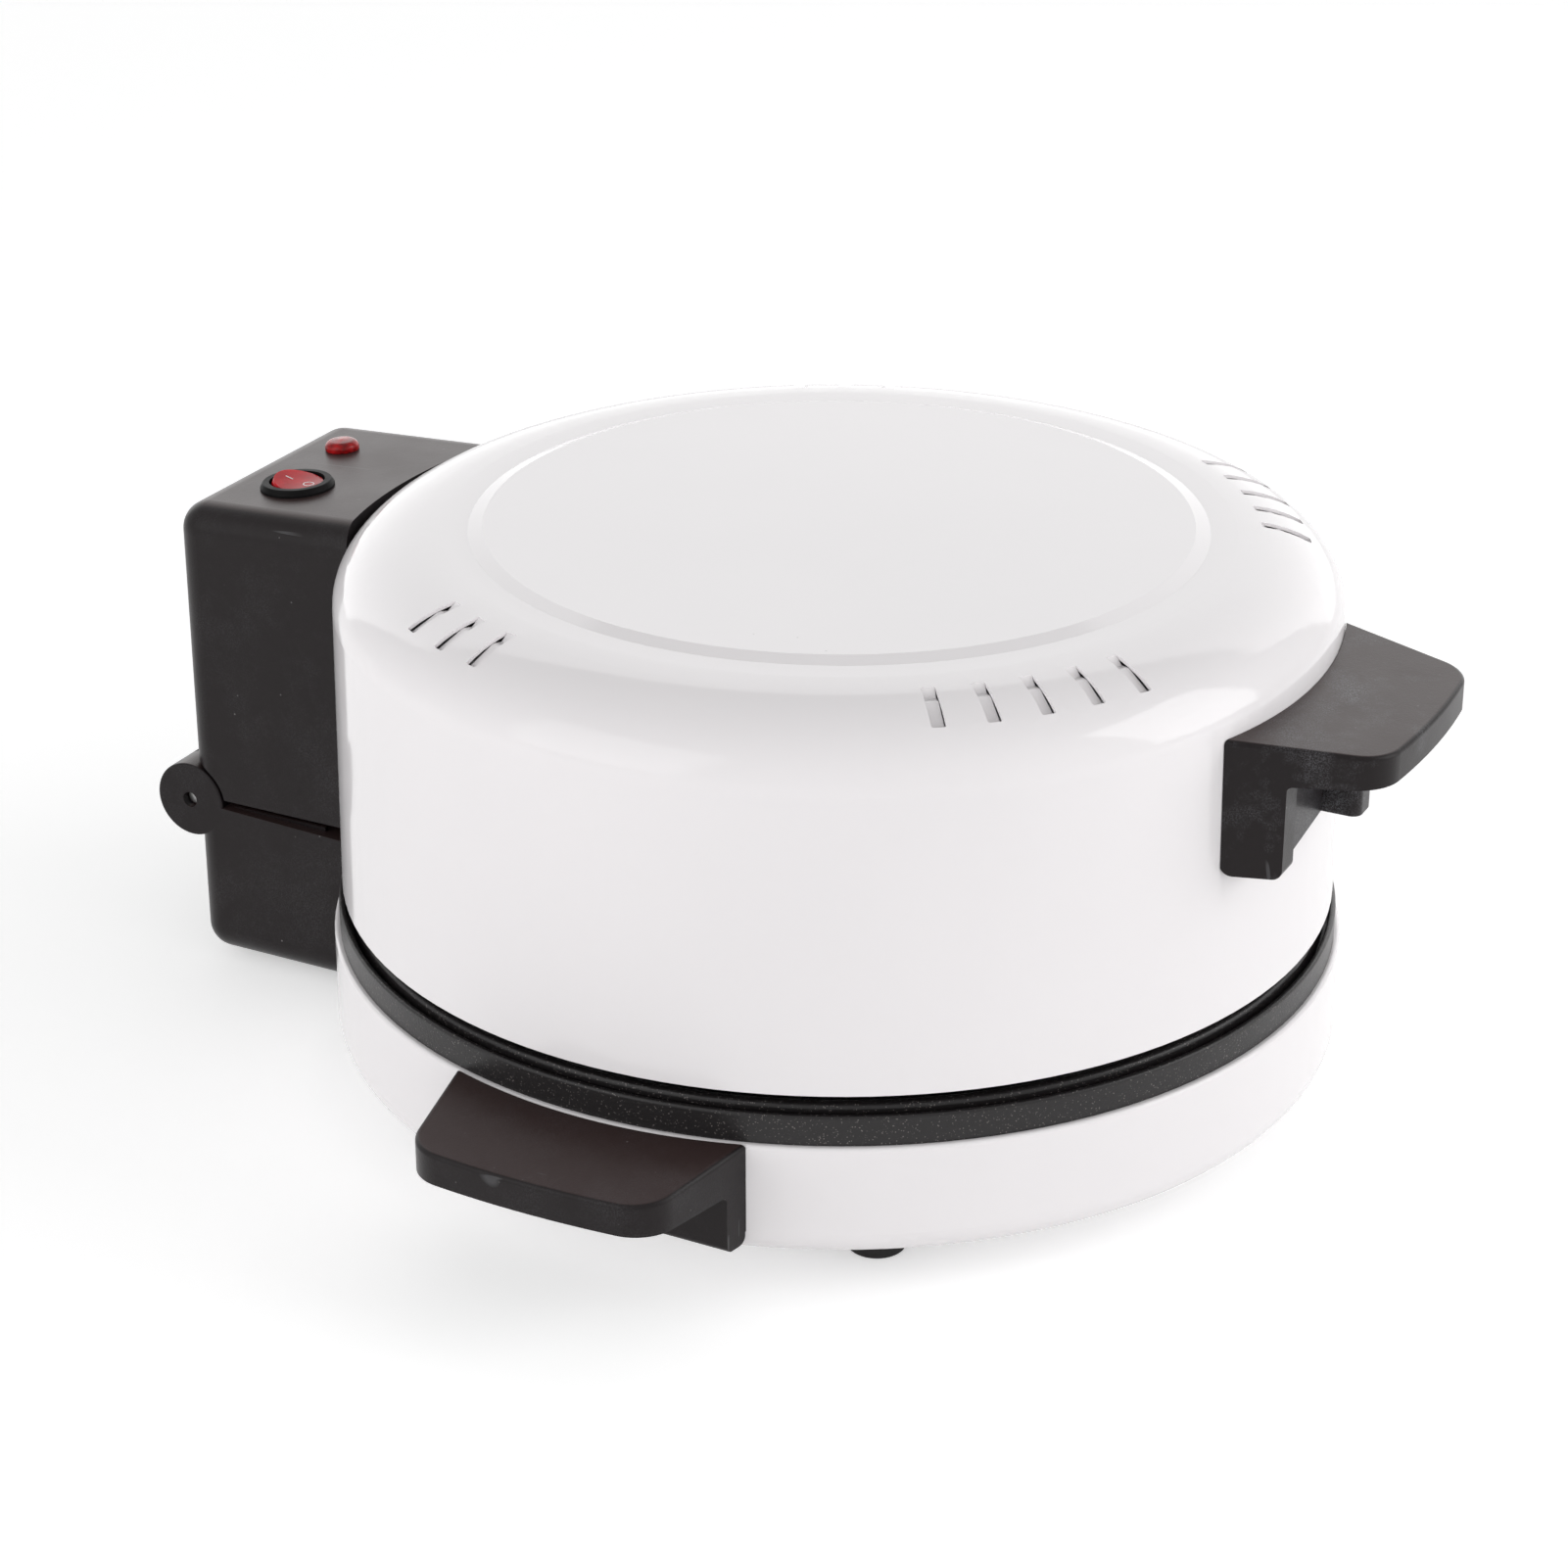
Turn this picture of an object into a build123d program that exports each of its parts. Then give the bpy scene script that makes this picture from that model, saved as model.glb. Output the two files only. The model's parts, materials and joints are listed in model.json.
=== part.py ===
"""Electric pizza maker: a round countertop cooker with a hinged lid.

All sizes are millimetres. The pieces are laid out about the axis of the round body, with z = 0 on
the table. +Y is the hinge side, -Y the lid handle, +X and -X the two carrying handles. At the end
every piece moves along Y by the same amount, which puts the origin at the bottom centre of the
whole product.
"""

from build123d import *
from math import asin, atan, cos, degrees, radians, sin, sqrt
import os

os.makedirs("parts", exist_ok=True)

# Clearances
seat_gap = 0.15        # a moulded part against the curved sheet that it is screwed to
screw_clear = 0.25     # round a screw's shank
pin_clear = 0.05       # running fit on a pin, radial
swing_clear = 0.8      # between the knuckles, and round the barrel
touch_gap = 0.2        # a tube against the face that it warms

# Sheet and wall thicknesses
sheet = 1.0
liner_sheet = 0.8
plastic = 2.5

# Heights of the body
foot_height = 11.8
pan_height = 34.7
rim_z = foot_height + pan_height

# Base pan
pan_ledge = 1.7        # the pan's wall outside the plate's rim
pan_edge_radius = 8.0
pan_bead_radius = 1.2
pan_flange_width = 9.0
pan_press_inset = 63.9
pan_press_depth = 3.0

# Cooking plate
rim_radius = 150.0
rim_height = 9.0
rim_wall = 1.8
groove_width = 1.7
groove_depth = 4.5
lip_width = 3.4
lip_rise = 1.8
plate_depth = 13.8
plate_slope_width = 6.0
plate_thickness = 3.5
dish_gap = 1.4

# Lid
lid_gap = 3.8          # steam gap between the plate's lip and the lid
lid_inset = 1.3        # the lid's lower edge inside the plate's rim
lid_draft = 0.014      # the wall leans in by this much for each millimetre of height
lid_wall_height = 87.0
shoulder_reach = 32.0
shoulder_rise = 20.7
disc_inset = 45.4
disc_slope_width = 4.4
disc_rise = 1.4
hem_width = 5.0
hem_rise = 1.6         # the hem stands above the wall's edge, which hides the screws
liner_depth = 8.0      # below the lid's outer face
liner_flange_gap = 0.4

# Vents in the lid's shoulder
vent_inset = 11.2
vent_length = 14.8
vent_width = 4.0
vent_corner = 0.6
ramp_length = 2.4
hump_length = 5.2
strip_depth = 1.9      # the pressed-in strip below the lid's outer face
hump_depth = 0.9
strip_sheet = 0.8
strip_gap = 0.15
vent_pitch = 6.35
front_vents = 5
front_vent_angle = 39.7
rear_vents = 3
rear_vent_angle = 64.2

# Heating elements
tube_radius = 3.25
element_pin_radius = 1.3
element_pin_length = 5.0
element_half_gap = 14.5
element_bend = 12.0
lower_ring_inset = 50.0
upper_ring_inset = 53.8
upper_ring_drop = 18.0
element_reach = 8.0    # past the sheet wall, into the hinge box
clamp_count = 4
strap_width = 10.0
strap_thickness = 1.2

# Reflector below the plate
reflector_inset = 18.9
reflector_lip = 6.5
post_count = 4
post_inset = 28.0      # inside the lower element's ring
post_radius = 6.0
post_length = 14.0
spacer_radius = 4.5

# Hinge
pin_radius = 2.5
pin_recess = 2.5
knuckle_radius = 12.2
knuckle_width = 12.5
knuckle_reach = 54.0   # behind the pan's wall
knuckle_rise = 8.0     # above the bottom of the plate's rim
ear_notch_gap = 1.2

# Hinge boxes
box_half_width = 45.5
box_reach = 53.7       # behind the pan's wall
box_edge = 8.8
lower_box_ground_gap = 2.0
lower_box_top_rise = 6.95
lower_box_top_slope = -2.0
rib_inset = 3.0
rib_width = 1.0
rib_top_rise = 7.55
rib_reach = 5.1
rib_length = 34.0
upper_box_bottom_rise = 10.4
upper_box_top_rise = 108.1
upper_box_top_slope = 3.0
control_reach = 29.8
lug_reach = 6.0
lug_height = 10.0
lug_width = 11.0
window_half_width = 24.0
lower_window = (25.0, 44.0)
upper_window = (92.0, 148.0)
bumper_x = 22.0
bumper_reach = 10.1
bumper_radius = 4.0
bumper_stem_radius = 2.0
bumper_gap = 0.4

# Switch, with a 20 mm panel hole, and pilot lamp
switch_place = (-16.5, -3.3)    # across and along the box's top
lamp_place = (19.3, 3.9)
switch_hole_radius = 10.1
bezel_radius = 11.5
bezel_height = 2.2
bezel_top_radius = 10.6
switch_body_radius = 9.9
switch_body_depth = 14.0
switch_well_radius = 8.6
switch_well_depth = 9.2
rocker_radius = 8.3
rocker_pivot_depth = 1.0
rocker_tilt = 22.0
rocker_hollow = 26.0    # radius of the soft bend between its two faces
rocker_base_depth = 6.0
trunnion_radius = 1.2
trunnion_length = 1.0
tab_width = 4.8
tab_thickness = 0.8
tab_length = 6.5
tab_pitch = 6.0
lens_radius = 5.4
lens_height = 3.4
lens_crown = 0.5
lens_round = 2.2
lens_stem_radius = 3.9
lens_stem_depth = 8.0
lamp_length = 11.0
lamp_nut_radius = 6.8
lamp_nut_height = 2.6

# Lid handle
lid_handle_half = 47.8
lid_handle_reach = 35.9
lid_handle_taper = 17.0
lid_handle_rise = 100.1
lid_handle_grip = 12.4
lid_handle_height = 40.2
lid_handle_leg = 8.8
lid_handle_toe = 3.6
lid_handle_heel = 2.6
lid_handle_screw_x = 36.0

# Carrying handles on the base
side_handle_half = 45.6
side_handle_reach = 34.5
side_handle_taper = 11.5
side_handle_rise = 0.4
side_handle_grip = 12.7
side_handle_height = 30.5
side_handle_leg = 1.0
side_handle_toe = 2.5
side_handle_heel = 2.0
side_handle_screw_x = 30.0

# Shapes shared by the three handles
handle_slope = 0.06
handle_underside_slope = 0.03
handle_corner = 13.0
handle_bow = 2.4
handle_edge = 1.4
pad_width = 13.5
pad_rise = 2.6
boss_half = 5.5
boss_reach = 8.4
boss_round = 3.0
arch_rise = 5.0

# Screws
screw_radius = 1.9
screw_head_radius = 3.6
screw_head_height = 2.2
screw_depth = 8.0
box_screw_x = 38.0
lower_box_screw_z = (22.0, 40.0)
upper_box_screw_z = (78.0, 126.0)
liner_screw_count = 6
liner_screw_radius = 1.4
liner_screw_head_radius = 2.4
liner_screw_head_height = 1.2

# Feet
foot_radius = 8.6
foot_top_radius = 7.6
foot_inset_x = 46.4
foot_inset_y = 85.9
foot_bore_radius = 4.4
foot_bore_depth = 7.0
foot_washer_gap = 0.2
nut_radius = 3.8
nut_height = 3.0

# Thermostats
thermostat_radius = 8.0
thermostat_cap = 4.0
thermostat_body_radius = 6.5
thermostat_body = 3.2

# Terminal block, leads and cord gland
block_length = 38.0
block_depth = 16.0
block_height = 13.0
block_reach = 28.1
terminal_radius = 2.2
lead_radius = 1.2
lead_bend = 2.6
gland_x = -22.0
gland_z = 20.0
gland_bore_radius = 3.75
gland_barrel_radius = 5.6
gland_flange_radius = 8.0
gland_flange = 3.5
gland_tail = 5.0

# Places worked out from the sizes above
pan_radius = rim_radius + pan_ledge
pan_press_radius = pan_radius - pan_press_inset
lid_radius = rim_radius - lid_inset
disc_radius = lid_radius - disc_inset
vent_outer_radius = lid_radius - vent_inset
vent_inner_radius = vent_outer_radius - vent_length
lower_ring_radius = rim_radius - lower_ring_inset
upper_ring_radius = lid_radius - upper_ring_inset
reflector_radius = pan_radius - reflector_inset
post_circle_radius = lower_ring_radius - post_inset
foot_x = pan_radius - foot_inset_x
foot_y = pan_radius - foot_inset_y
knuckle_y = pan_radius + knuckle_reach
box_back_y = pan_radius + box_reach
control_y = pan_radius + control_reach
bumper_y = pan_radius + bumper_reach
block_y = pan_radius + block_reach
rib_y = pan_radius + rib_reach
plate_floor_z = rim_z + rim_height + lip_rise - plate_depth
plate_under_z = plate_floor_z - plate_thickness
lip_radius = rim_radius - rim_wall - groove_width
dish_wall_radius = pan_radius - pan_flange_width - dish_gap
lid_z = rim_z + rim_height + lip_rise + lid_gap
hem_z = lid_z + hem_rise
liner_screw_circle = lid_radius - sheet - seat_gap - liner_screw_head_radius
shoulder_z = lid_z + lid_wall_height
shoulder_centre = lid_radius - lid_draft * lid_wall_height - shoulder_reach
ring_top_z = shoulder_z + shoulder_rise
disc_z = ring_top_z + disc_rise
liner_top_z = ring_top_z - liner_depth
upper_ring_z = liner_top_z - liner_sheet - upper_ring_drop
lower_ring_z = plate_under_z - touch_gap - tube_radius
reflector_z = plate_under_z - post_length
pan_floor_z = foot_height + sheet
knuckle_z = rim_z + knuckle_rise
lower_box_top_z = rim_z + lower_box_top_rise
upper_box_bottom_z = rim_z + upper_box_bottom_rise
control_z = rim_z + upper_box_top_rise
element_end_y = pan_radius + element_reach
front_reach = lid_radius - lid_draft * (lid_handle_rise + rim_z - lid_z) + lid_handle_reach
rear_reach = knuckle_y + knuckle_radius
footprint_shift = (front_reach - rear_reach) / 2


def lid_radius_at(z):
    """Outer radius of the lid's wall at a height."""
    return lid_radius - lid_draft * (z - lid_z)


def outline(*corners):
    """Closed flat shape through (x, y, corner radius) points."""
    points = [(x, y) for x, y, r in corners]
    radii = [r for x, y, r in corners]
    return make_face(FilletPolyline(*points, radius=radii, close=True))


def turned(*corners):
    """Solid of revolution about Z through (radius, z, corner radius) points."""
    return revolve(Plane.XZ * outline(*corners), Axis.Z)


def rod_x(x0, x1, radius):
    """Round bar along X."""
    return Pos((x0 + x1) / 2, 0, 0) * Rot(0, 90, 0) * Cylinder(radius, x1 - x0)


def rod_y(y0, y1, radius):
    """Round bar along Y."""
    return Pos(0, (y0 + y1) / 2, 0) * Rot(90, 0, 0) * Cylinder(radius, y1 - y0)


def rod_z(z0, z1, radius):
    """Round bar along Z."""
    return Pos(0, 0, (z0 + z1) / 2) * Cylinder(radius, z1 - z0)


def brick(x0, x1, y0, y1, z0, z1):
    """Box between two corners."""
    return Pos((x0 + x1) / 2, (y0 + y1) / 2, (z0 + z1) / 2) * Box(x1 - x0, y1 - y0, z1 - z0)


def around(part, count, first=0.0):
    """Copies of a part, evenly spaced about Z."""
    return [Rot(0, 0, first + 360.0 * i / count) * part for i in range(count)]


def group(parts):
    """Separate solids that share one node."""
    return Compound([solid for part in parts for solid in part.solids()])


def radial_screw(wall_radius):
    """Screw along +X, its head inside the wall and its shank pointing outwards."""
    head = rod_x(wall_radius - screw_head_height, wall_radius, screw_head_radius)
    head = fillet(head.edges().group_by(Axis.X)[0], 0.8)
    shank = rod_x(wall_radius, wall_radius + sheet + screw_depth, screw_radius)
    return head + shank


def radial_hole(length_from, length_to):
    """Cutter for a radial screw's shank."""
    return rod_x(length_from, length_to, screw_radius + screw_clear)


def screw_places(x, radius, heights, centre_angle):
    """Turn and height of each radial screw in a pair or a square of four."""
    spread = degrees(asin(x / radius))
    return [(centre_angle + s * spread, z) for z in heights for s in (-1, 1)]


def place(part, angle, z):
    """Turn a part that lies along +X to an angle about Z, and lift it."""
    return Rot(0, 0, angle) * Pos(0, 0, z) * part


box_screws_low = screw_places(box_screw_x, pan_radius, lower_box_screw_z, 90)
box_screws_high = screw_places(box_screw_x, lid_radius, upper_box_screw_z, 90)
side_screw_z = rim_z + side_handle_rise - side_handle_grip / 2
lid_screw_z = rim_z + lid_handle_rise - (lid_handle_grip + lid_handle_height) / 2
side_screws = (screw_places(side_handle_screw_x, pan_radius, (side_screw_z,), 180)
               + screw_places(side_handle_screw_x, pan_radius, (side_screw_z,), 0))
lid_screws = screw_places(lid_handle_screw_x, lid_radius, (lid_screw_z,), -90)
foot_places = [(sx * foot_x, sy * foot_y) for sx in (-1, 1) for sy in (-1, 1)]


def make_base_pan():
    """Pressed white pan: rolled bottom edge, wall, beaded top edge and a flange for the plate."""
    wall_in = pan_radius - sheet
    flange_in = pan_radius - pan_flange_width
    top = rim_z
    press_z = foot_height + pan_press_depth
    slope = pan_press_depth * 1.5
    pan = turned(
        (0, press_z, 0),
        (pan_press_radius - slope, press_z, 3),
        (pan_press_radius, foot_height, 3),
        (pan_radius, foot_height, pan_edge_radius),
        (pan_radius, top, pan_bead_radius),
        (flange_in, top, 0),
        (flange_in, top - sheet, 0),
        (wall_in, top - sheet, 0),
        (wall_in, pan_floor_z, pan_edge_radius - sheet),
        (pan_press_radius, pan_floor_z, 3),
        (pan_press_radius - slope, press_z + sheet, 3),
        (0, press_z + sheet, 0),
    )
    for angle, z in box_screws_low + side_screws:
        pan -= place(radial_hole(wall_in - 4, pan_radius + 4), angle, z)
    for sx in (-1, 1):
        hole = rod_y(wall_in - 6, pan_radius + 4, tube_radius + screw_clear)
        pan -= Pos(sx * element_half_gap, 0, lower_ring_z) * hole
    for x, y in foot_places:
        pan -= Pos(x, y, 0) * rod_z(foot_height - 2, pan_floor_z + 2, screw_radius + screw_clear)
    hole = Pos(post_circle_radius, 0, 0) * rod_z(foot_height - 2, press_z + sheet + 2,
                                                 screw_radius + screw_clear)
    for cutter in around(hole, post_count, 45):
        pan -= cutter
    return pan


def make_cooking_plate():
    """Cast dish with a standing rim, a groove, a rounded lip and four screw posts below."""
    rim_top = rim_z + rim_height
    lip_top = rim_top + lip_rise
    lip_in = lip_radius - lip_width
    floor_radius = lip_in - plate_slope_width
    plate = turned(
        (0, plate_floor_z, 0),
        (floor_radius, plate_floor_z, 6),
        (lip_in, lip_top, 1.4),
        (lip_radius, lip_top, 1.4),
        (lip_radius, rim_top - groove_depth, 0.4),
        (rim_radius - rim_wall, rim_top - groove_depth, 0.4),
        (rim_radius - rim_wall, rim_top, 0.5),
        (rim_radius, rim_top, 0.9),
        (rim_radius, rim_z, 0.4),
        (dish_wall_radius, rim_z, 0),
        (dish_wall_radius - 1.5, plate_under_z, 2.5),
        (0, plate_under_z, 0),
    )
    post = rod_z(reflector_z, plate_under_z + 1, post_radius)
    bore = rod_z(reflector_z - 1, plate_under_z - 2, screw_radius + screw_clear)
    post = Pos(post_circle_radius, 0, 0) * (post - bore)
    for copy in around(post, post_count, 45):
        plate += copy
    return plate


def heating_element(ring_radius, z, end_y):
    """Tubular element: nearly a full ring, with both ends bent back towards the hinge."""
    spread = element_half_gap + element_bend
    gap = degrees(asin(spread / (ring_radius + element_bend)))
    bend_y = sqrt((ring_radius + element_bend) ** 2 - spread ** 2)
    lead_in = Line((-element_half_gap, end_y), (-element_half_gap, bend_y))
    first = JernArc(lead_in @ 1, lead_in % 1, element_bend, gap - 90)
    ring = JernArc(first @ 1, first % 1, ring_radius, 360 - 2 * gap)
    last = JernArc(ring @ 1, ring % 1, element_bend, gap - 90)
    lead_out = Line(last @ 1, (element_half_gap, end_y))
    path = Wire([lead_in, first, ring, last, lead_out])
    section = Plane(origin=path @ 0, z_dir=path % 0) * Circle(tube_radius)
    element = Pos(0, 0, z) * sweep(section, path=path)
    for sx in (-1, 1):
        pin = rod_y(end_y - 1, end_y + element_pin_length, element_pin_radius)
        element += Pos(sx * element_half_gap, 0, z) * pin
    return element


def make_lower_clamps():
    """Straps that hold the lower element up against the plate."""
    low = lower_ring_z - tube_radius - strap_thickness
    inner = lower_ring_radius - tube_radius - 7
    outer = lower_ring_radius + tube_radius + 3
    half = strap_width / 2
    strap = brick(inner, outer, -half, half, low, low + strap_thickness)
    post = Pos(inner + 3, 0, 0) * rod_z(low, plate_under_z, 2.8)
    return group(around(strap + post, clamp_count, 0))


def make_lower_reflector():
    """Bright dish between the element and the pan, hung from the plate's posts."""
    top = reflector_z
    low = top - liner_sheet
    lip = reflector_lip
    dish = turned(
        (0, low, 0),
        (reflector_radius - lip * 0.5, low, 3),
        (reflector_radius, low + lip, 0),
        (reflector_radius - liner_sheet * 1.2, low + lip, 0),
        (reflector_radius - lip * 0.5 - liner_sheet * 0.9, top, 2),
        (0, top, 0),
    )
    hole = Pos(post_circle_radius, 0, 0) * rod_z(low - 2, top + 2, screw_radius + screw_clear)
    for cutter in around(hole, post_count, 45):
        dish -= cutter
    return dish


def make_reflector_spacers():
    """Tubes that hold the reflector above the pan's floor."""
    low = foot_height + pan_press_depth + sheet
    tube = rod_z(low, reflector_z - liner_sheet, spacer_radius)
    tube -= rod_z(low - 1, reflector_z, screw_radius + screw_clear)
    return group(around(Pos(post_circle_radius, 0, 0) * tube, post_count, 45))


def make_plate_screws():
    """Screws from below that hold pan, spacers, reflector and plate together."""
    seat = foot_height + pan_press_depth
    head = rod_z(seat - screw_head_height, seat, screw_head_radius)
    head = fillet(head.edges().group_by(Axis.Z)[0], 0.8)
    screw = head + rod_z(seat, plate_under_z - 3, screw_radius)
    return group(around(Pos(post_circle_radius, 0, 0) * screw, post_count, 45))


def make_foot():
    """Tapered rubber foot with a counterbore for its screw."""
    foot = turned(
        (0, 0, 0),
        (foot_radius, 0, 1.2),
        (foot_top_radius, foot_height, 0.6),
        (0, foot_height, 0),
    )
    foot -= rod_z(-1, foot_bore_depth, foot_bore_radius)
    foot -= rod_z(0, foot_height + 1, screw_radius + screw_clear)
    return foot


def make_foot_screws():
    """One screw up through each foot."""
    head = rod_z(foot_bore_depth - screw_head_height, foot_bore_depth, screw_head_radius)
    screw = head + rod_z(foot_bore_depth, pan_floor_z + nut_height + 1, screw_radius)
    return group([Pos(x, y, 0) * screw for x, y in foot_places])


def make_foot_nuts():
    """Hexagon nuts on the foot screws, inside the pan."""
    nut = extrude(RegularPolygon(nut_radius, 6), nut_height)
    nut -= rod_z(-1, nut_height + 1, screw_radius + pin_clear)
    return group([Pos(x, y, pan_floor_z) * nut for x, y in foot_places])


def handle_plan(wall_radius, half, reach, taper):
    """Plan of a grip that points to -Y: tapered sides, rounded corners, a bowed outer edge."""
    inner_y = -sqrt(wall_radius ** 2 - half ** 2)
    outer_y = -(wall_radius + reach)
    side_y = outer_y + handle_bow
    lean = (inner_y - side_y) * sin(radians(taper)) / cos(radians(taper))
    root_y = inner_y + 12
    side = (half - lean, side_y)
    shape = make_face([
        Line((-half, root_y), (half, root_y)),
        Line((half, root_y), (half, inner_y)),
        Line((half, inner_y), side),
        ThreePointArc(side, (0, outer_y), (-side[0], side_y)),
        Line((-side[0], side_y), (-half, inner_y)),
        Line((-half, inner_y), (-half, root_y)),
    ])
    corners = shape.vertices().filter_by_position(Axis.Y, outer_y - 1, side_y + 1)
    return fillet(corners, handle_corner)


def make_handle(wall_cutter, wall_radius, half, reach, taper, rise, grip, height, leg, toe, heel, screws):
    """Handle that points to -Y: a grip plate on a leg that follows the wall."""
    top = rim_z + rise
    inner_y = -sqrt(wall_radius ** 2 - half ** 2)
    outer_y = -(wall_radius + reach)
    leg_y = -(wall_radius + leg)
    foot_z = top - height
    under_in = top - grip
    under_out = under_in + handle_underside_slope * (leg_y - outer_y)
    top_out = top - handle_slope * (inner_y - outer_y)
    foot_room = min(1, (inner_y - leg_y - 0.7) / (toe + heel))    # both roundings fit on the leg's foot
    slab = extrude(Pos(0, 0, foot_z) * handle_plan(wall_radius, half, reach, taper), height)
    side = outline(
        (inner_y + 11, top, 0),
        (inner_y, top, 0),
        (outer_y - 1, top_out, 0),
        (outer_y - 1, under_out, 0),
        (leg_y, under_in, 1.5),
        (leg_y, foot_z, heel * foot_room),
        (inner_y - 0.5, foot_z, toe * foot_room),
        (inner_y - 0.5, foot_z + toe + 1, 0),
        (inner_y + 11, foot_z + toe + 1, 0),
    )
    handle = slab & extrude(Plane.YZ * side, half + 1, both=True)
    rim_edges = handle.edges().filter_by_position(Axis.Y, outer_y - 1, inner_y - 0.1)
    rim_edges = rim_edges.filter_by_position(Axis.Z, top_out - 0.5, top + 0.5)
    rim_edges = [e for e in rim_edges if abs(e.tangent_at(0.5).Z) < 0.2]
    handle = fillet(rim_edges, handle_edge)
    handle -= wall_cutter
    for angle, z in screws:
        bore = radial_hole(wall_radius - 12, wall_radius + screw_depth + 0.4)
        handle -= place(bore, angle, z)
    return handle


def leg_relief():
    """Cutter for the lid handle's leg: it leaves two pads, a centre boss and an arch between them."""
    wall = lid_radius_at(rim_z + lid_handle_rise)
    face_y = -(wall + lid_handle_leg)
    top = rim_z + lid_handle_rise
    foot_z = top - lid_handle_height
    pad_inner = lid_handle_half - pad_width
    pocket = brick(boss_half, pad_inner, face_y - 1, face_y + pad_rise, foot_z - 1,
                   top - lid_handle_grip - 0.5)
    arch = extrude(Plane.XZ * outline(
        (-pad_inner, foot_z - 1, 0),
        (-pad_inner, foot_z + 1, 0),
        (-boss_half, foot_z + arch_rise, 1.5),
        (boss_half, foot_z + arch_rise, 1.5),
        (pad_inner, foot_z + 1, 0),
        (pad_inner, foot_z - 1, 0),
    ), wall + lid_handle_reach)
    return pocket + mirror(pocket, Plane.YZ) + arch


def make_side_handle():
    """Carrying handle, drawn pointing to -Y."""
    cutter = rod_z(0, rim_z + 30, pan_radius + seat_gap)
    screws = screw_places(side_handle_screw_x, pan_radius, (side_screw_z,), -90)
    return make_handle(cutter, pan_radius, side_handle_half, side_handle_reach, side_handle_taper,
                       side_handle_rise, side_handle_grip, side_handle_height, side_handle_leg,
                       side_handle_toe, side_handle_heel, screws)


def make_lid_handle():
    """Lid handle, on the leaning wall of the lid."""
    cutter = Pos(0, 0, (lid_z + shoulder_z) / 2) * Cone(
        lid_radius + seat_gap, lid_radius_at(shoulder_z) + seat_gap, lid_wall_height)
    wall = lid_radius_at(rim_z + lid_handle_rise)
    handle = make_handle(cutter + leg_relief(), wall, lid_handle_half, lid_handle_reach, lid_handle_taper,
                         lid_handle_rise, lid_handle_grip, lid_handle_height, lid_handle_leg,
                         lid_handle_toe, lid_handle_heel, lid_screws)
    top = rim_z + lid_handle_rise
    boss = brick(-boss_half, boss_half, -(wall + lid_handle_leg + boss_reach), -(wall + lid_handle_leg) + 1,
                 top - lid_handle_height + arch_rise, top - lid_handle_grip + 0.5)
    outer_edges = boss.edges().filter_by(Axis.Z).group_by(Axis.Y)[0]
    return handle + fillet(outer_edges, boss_round)


def dome_edges(depth, stepped):
    """Half outline of the lid at a depth below its outer face, from the lower edge to the axis."""
    wall = Line((lid_radius - depth, lid_z), (shoulder_centre + shoulder_reach - depth, shoulder_z))
    bend = EllipticalCenterArc((shoulder_centre, shoulder_z), shoulder_reach - depth,
                               shoulder_rise - depth, start_angle=0, arc_size=90)
    top = ring_top_z - depth
    if stepped:
        foot_r = disc_radius + disc_slope_width
        roof = [Line(bend @ 1, (foot_r, top)),
                Line((foot_r, top), (disc_radius, top + disc_rise)),
                Line((disc_radius, top + disc_rise), (0, top + disc_rise))]
    else:
        roof = [Line(bend @ 1, (0, top))]
    return [wall, bend] + roof


def dome_shell(depth, thickness, stepped, foot):
    """Turned shell between two depths below the lid's outer face, closed along a foot outline."""
    outer = dome_edges(depth, stepped)
    inner = dome_edges(depth + thickness, stepped)
    axis = Line(outer[-1] @ 1, inner[-1] @ 1)
    return revolve(Plane.XZ * make_face(outer + [axis] + inner + foot), Axis.Z)


def at_vents(piece):
    """A piece drawn along +X, repeated at every vent."""
    angles = []
    for count, angle, middle in ((front_vents, front_vent_angle, -90), (rear_vents, rear_vent_angle, 90)):
        for side in (-1, 1):
            for i in range(count):
                angles.append(middle + side * angle + (i - (count - 1) / 2) * vent_pitch)
    return [Rot(0, 0, a) * piece for a in angles]


def vent_cutters():
    """Radial slots through the lid's shoulder."""
    centre = (vent_outer_radius + vent_inner_radius) / 2
    slot = RectangleRounded(vent_length, vent_width, vent_corner)
    return at_vents(Pos(centre, 0, shoulder_z) * extrude(slot, shoulder_rise + 5))


def dome_z(radius):
    """Height of the shoulder's outer face at a radius."""
    return shoulder_z + shoulder_rise * sqrt(1 - ((radius - shoulder_centre) / shoulder_reach) ** 2)


def vent_strips():
    """The sheet under each slot, pressed inwards: a ramp, a low hump and a tail, held at both ends."""
    marks = (
        (-0.6, 0.2, 0),
        (0.2, 0.3, 0.3),
        (ramp_length, strip_depth, 0.6),
        (hump_length, hump_depth, 3.0),
        (vent_length - 1.4, strip_depth, 0.6),
        (vent_length + 0.4, 0.3, 0),
    )
    places = [(vent_inner_radius + s, dome_z(vent_inner_radius + s) - depth, r) for s, depth, r in marks]
    under = [(radius, z - strip_sheet, r) for radius, z, r in places]
    strip = outline(*places, *reversed(under))
    return at_vents(extrude(Plane.XZ * strip, vent_width / 2 - strip_gap, both=True))


def element_holes():
    """Clearance for the upper element's two ends."""
    hole = rod_y(upper_ring_radius + element_bend + 12, lid_radius + 5, tube_radius + screw_clear)
    return [Pos(s * element_half_gap, 0, upper_ring_z) * hole for s in (-1, 1)]


def liner_screw_cutters(radius):
    """Holes through the hem and the liner's flange."""
    hole = Pos(liner_screw_circle, 0, 0) * rod_z(hem_z - 2, hem_z + 5, radius)
    return around(hole, liner_screw_count, 90 + 180 / liner_screw_count)


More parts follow.
